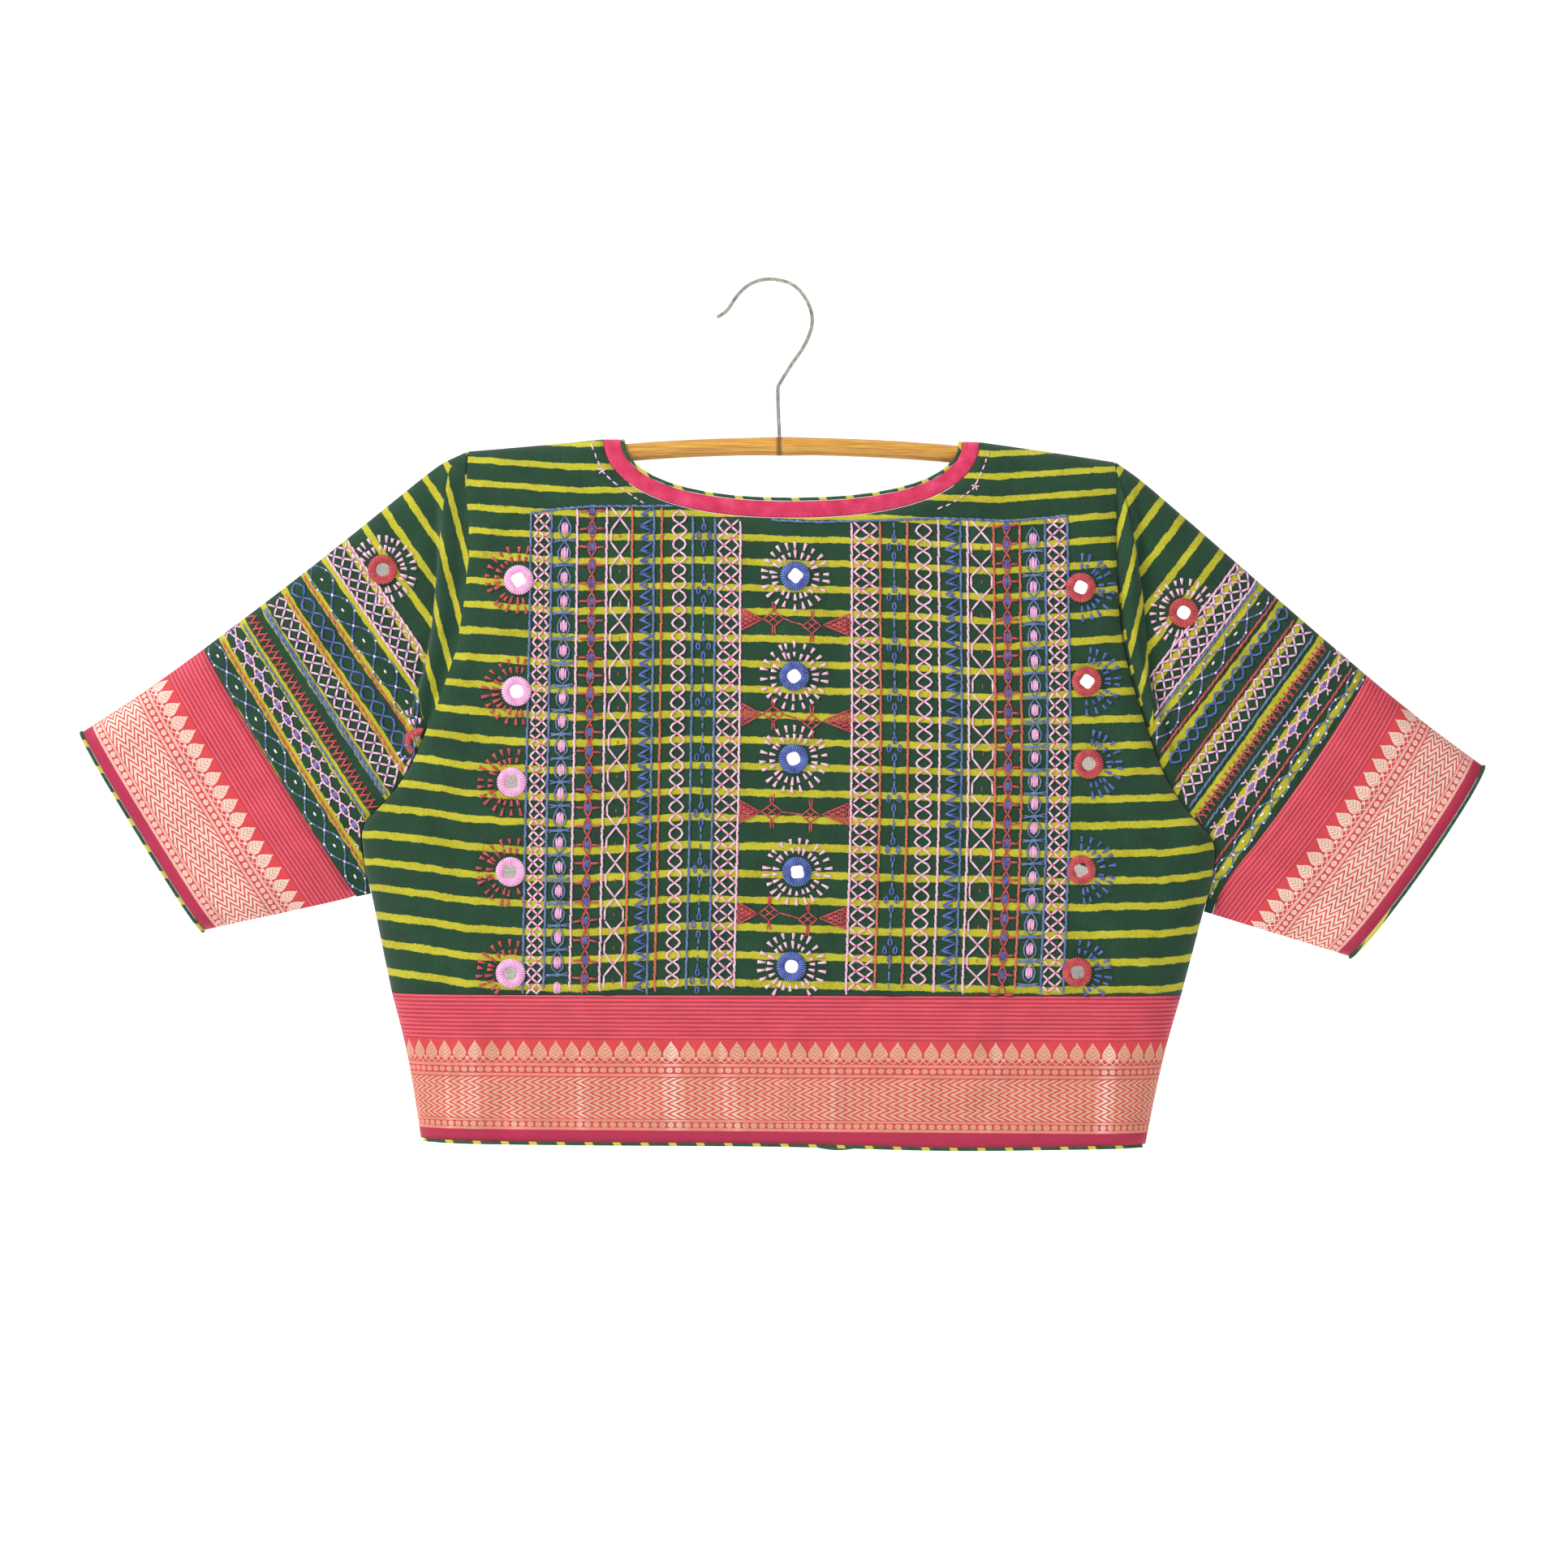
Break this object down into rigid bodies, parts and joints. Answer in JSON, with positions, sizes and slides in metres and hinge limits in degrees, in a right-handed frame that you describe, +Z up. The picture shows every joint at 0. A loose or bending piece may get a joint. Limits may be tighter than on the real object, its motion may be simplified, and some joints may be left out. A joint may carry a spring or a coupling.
{
  "type": "choli blouse on a hanger",
  "caption": "Short striped cotton blouse with an embroidered, mirror-worked back and gold-figured borders, hung on a bamboo hanger with a wire hook.",
  "frame": {"origin": "inside top of the hook's bend, where the peg or rail carries it", "axes": "+Z up, +X to the right of a viewer who faces the blouse's back, the back faces -Y and the front opening faces +Y"},
  "size_m": [0.7789, 0.0445, 0.4869],
  "materials": {
    "striped_cotton": "matte hand-printed cotton, dark green with yellow stripes",
    "zari_border": "coral silk-cotton with a woven pale gold pattern, low sheen",
    "binding": "plain matte coral-pink cotton",
    "pink_thread": "satin cotton thread round a small glass mirror",
    "blue_thread": "satin cotton thread round a small glass mirror",
    "red_thread": "satin cotton thread round a small glass mirror",
    "bamboo": "varnished bamboo",
    "wire": "bare bent steel wire"
  },
  "bodies": {
    "root": {"back_panel": "striped_cotton", "waist_border": "zari_border", "front_left": "striped_cotton", "front_right": "striped_cotton", "front_placket": "striped_cotton", "neck_binding_back": "binding", "neck_binding_front": "binding", "sleeve_left": "striped_cotton", "sleeve_right": "striped_cotton", "sleeve_border_left": "zari_border", "sleeve_border_right": "zari_border", "neck_piping": "striped_cotton", "hem_piping": "striped_cotton", "cuff_piping_left": "striped_cotton", "cuff_piping_right": "striped_cotton", "hanger_bar": "bamboo", "hanger_hook": "wire", "mirror_left_1": "pink_thread", "mirror_left_2": "pink_thread", "mirror_left_3": "pink_thread", "mirror_left_4": "pink_thread", "mirror_left_5": "pink_thread", "mirror_middle_1": "blue_thread", "mirror_middle_2": "blue_thread", "mirror_middle_3": "blue_thread", "mirror_middle_4": "blue_thread", "mirror_middle_5": "blue_thread", "mirror_right_1": "red_thread", "mirror_right_2": "red_thread", "mirror_right_3": "red_thread", "mirror_right_4": "red_thread", "mirror_right_5": "red_thread", "mirror_sleeve_left_1": "red_thread", "mirror_sleeve_left_2": "red_thread", "mirror_sleeve_right_1": "red_thread", "mirror_sleeve_right_2": "red_thread"}
  },
  "joints": []
}
